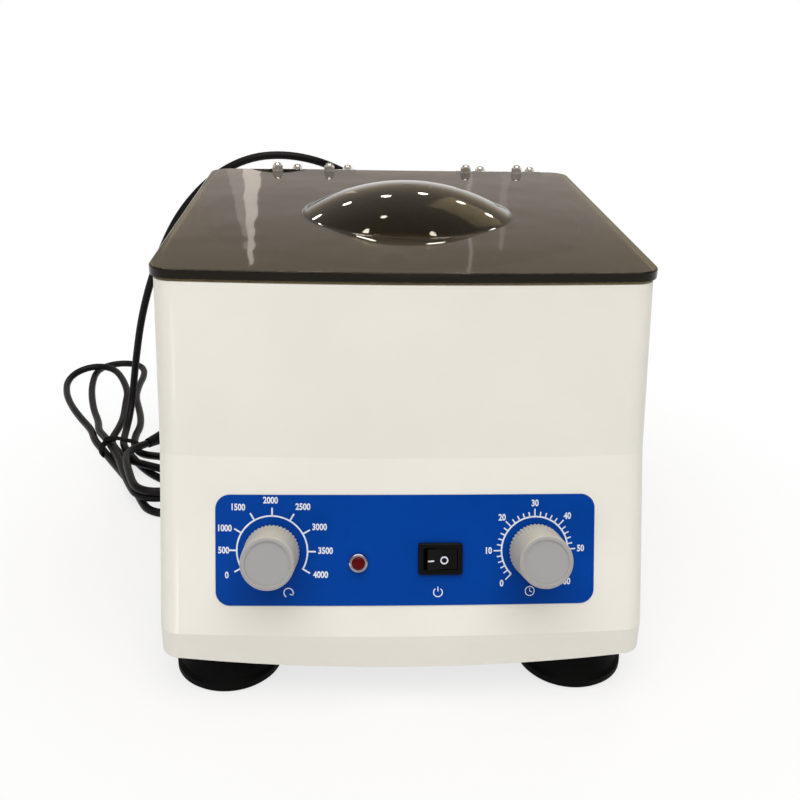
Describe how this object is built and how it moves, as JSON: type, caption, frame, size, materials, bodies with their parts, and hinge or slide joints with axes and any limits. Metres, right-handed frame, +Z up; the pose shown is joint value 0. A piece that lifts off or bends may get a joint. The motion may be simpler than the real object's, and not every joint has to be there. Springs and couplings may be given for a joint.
{
  "type": "butterfat centrifuge",
  "caption": "Bench centrifuge with an angle rotor in a steel bowl, a hinged smoked lid with a domed window, speed and time knobs, a power switch and a mains lead.",
  "frame": {"origin": "on the table under the middle of the machine, halfway between the knobs' caps in front and the fuse holder behind, without its mains lead", "axes": "+X to the user's right, +Y to the back, +Z up"},
  "size_m": [0.4239, 0.5104, 0.2389],
  "materials": {
    "shell": "gloss moulded, off-white",
    "acrylic": "smoked, polished",
    "black_rubber": "matt",
    "grey_rubber": "matt",
    "label_film": "printed film, satin",
    "knob_plastic": "satin moulded",
    "switch_plastic": "satin moulded",
    "lamp_red": "clear, gloss",
    "bright_plate": "polished plating",
    "zinc_steel": "zinc plated",
    "stainless": "drawn, fine brushed",
    "aluminium_cast": "cast and turned",
    "motor_paint": "satin black",
    "winding": "varnished copper",
    "board": "epoxy laminate",
    "cord_pvc": "satin PVC",
    "brass_plate": "plated"
  },
  "bodies": {
    "housing": {"housing_shell": "shell", "base_plate": "zinc_steel", "base_screws": "zinc_steel", "rubber_feet": "black_rubber", "foot_screws": "zinc_steel", "foot_nuts": "zinc_steel", "chamber_bowl": "stainless", "bowl_screws": "stainless", "bowl_nuts": "zinc_steel", "lid_seal": "grey_rubber", "shaft_boot": "grey_rubber", "rubber_dampers": "black_rubber", "motor_plate": "zinc_steel", "damper_screws": "zinc_steel", "motor_bells": "aluminium_cast", "motor_can": "motor_paint", "field_magnets": "motor_paint", "motor_bearings": "bright_plate", "body_hinge_leaves": "bright_plate", "hinge_pins": "zinc_steel", "hinge_bolts": "zinc_steel", "hinge_nuts": "bright_plate", "hinge_washers": "bright_plate", "front_label": "label_film", "control_bushings": "brass_plate", "control_nuts": "zinc_steel", "speed_potentiometer": "zinc_steel", "timer_unit": "switch_plastic", "lamp_bezel": "bright_plate", "lamp_lens": "lamp_red", "lamp_nut": "zinc_steel", "switch_frame": "switch_plastic", "rocker_pin": "switch_plastic", "board_standoffs": "zinc_steel", "control_board": "board", "board_parts": "switch_plastic", "heat_sink": "aluminium_cast", "fuse_holder": "switch_plastic", "strain_relief": "switch_plastic", "power_cord": "cord_pvc", "cord_hank": "cord_pvc", "cord_tie": "black_rubber", "mains_plug": "cord_pvc", "plug_blades": "brass_plate"},
    "lid": {"lid_panel": "acrylic", "lid_hinge_leaves": "bright_plate", "lid_bolts": "zinc_steel", "lid_nuts": "bright_plate", "lid_washers": "bright_plate"},
    "rotor": {"rotor_head": "aluminium_cast", "tube_sleeves": "stainless", "sleeve_cushions": "grey_rubber", "rotor_nut": "bright_plate", "motor_shaft": "zinc_steel", "armature": "winding"},
    "speed_knob_body": {"speed_knob": "knob_plastic", "speed_stem": "zinc_steel"},
    "time_knob_body": {"time_knob": "knob_plastic", "time_stem": "zinc_steel"},
    "rocker_body": {"power_rocker": "switch_plastic"}
  },
  "joints": [
    {"name": "lid_hinge", "type": "hinge", "parent": "housing", "child": "lid", "pos_m": [0.01215, 0.15286, 0.218], "axis": [-1, 0, 0], "range_deg": [0, 100]},
    {"name": "rotor_spin", "type": "hinge", "parent": "housing", "child": "rotor", "pos_m": [0, 0.01336, 0.038], "axis": [0, 0, 1], "continuous": true},
    {"name": "speed_turn", "type": "hinge", "parent": "housing", "child": "speed_knob_body", "pos_m": [-0.069, -0.15568, 0.08126], "axis": [0, 0.9336, -0.3584], "range_deg": [0, 240]},
    {"name": "time_turn", "type": "hinge", "parent": "housing", "child": "time_knob_body", "pos_m": [0.069, -0.15568, 0.08126], "axis": [0, 0.9336, -0.3584], "range_deg": [0, 270]},
    {"name": "rocker_tip", "type": "hinge", "parent": "housing", "child": "rocker_body", "pos_m": [0.0186, -0.15707, 0.07765], "axis": [0, -0.3584, -0.9336], "range_deg": [0, 20]}
  ]
}
